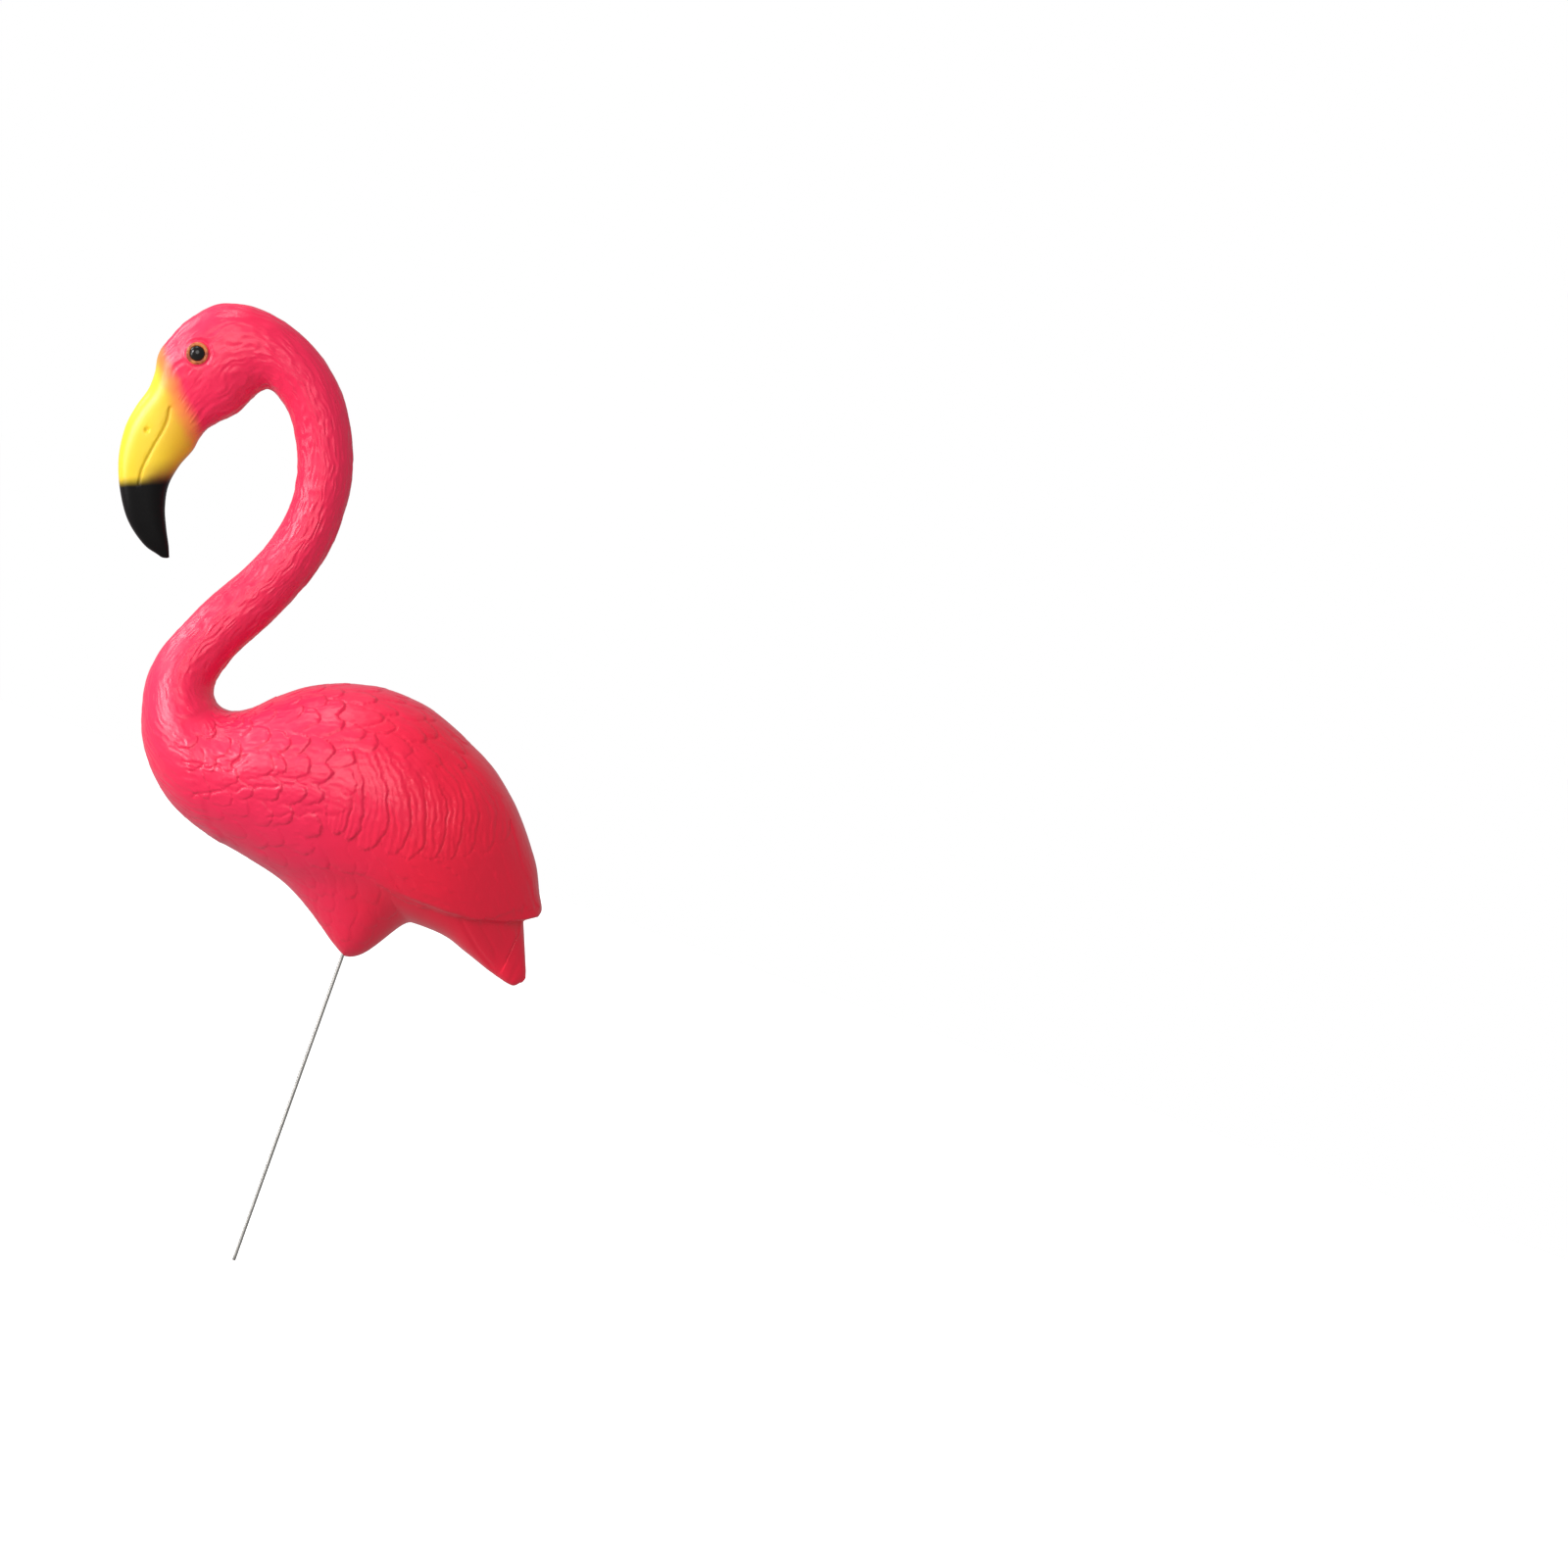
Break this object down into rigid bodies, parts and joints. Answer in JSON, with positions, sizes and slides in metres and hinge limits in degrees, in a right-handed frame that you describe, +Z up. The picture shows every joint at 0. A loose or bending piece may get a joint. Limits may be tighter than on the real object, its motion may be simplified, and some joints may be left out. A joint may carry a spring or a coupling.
{
  "type": "garden flamingo ornament",
  "caption": "Moulded pink flamingo with an S-curved neck, feather relief, a hooked yellow and black beak and set-in eyes, held up by a plain steel stake.",
  "frame": {"origin": "centre of the flat lower end of the stake", "axes": "+Z up along the stake, -X the way the bird faces, +Y the bird's right side; the plane Y = 0 is the bird's middle plane"},
  "size_m": [0.531, 0.1834, 0.8534],
  "materials": {
    "pink_moulding": "satin coral pink moulding; beak sprayed yellow with a soft orange edge and a black tip",
    "eye": "glossy black",
    "steel_rod": "dull drawn wire"
  },
  "bodies": {
    "root": {"flamingo": "pink_moulding", "eye_left": "eye", "eye_right": "eye", "stake": "steel_rod"}
  },
  "joints": []
}
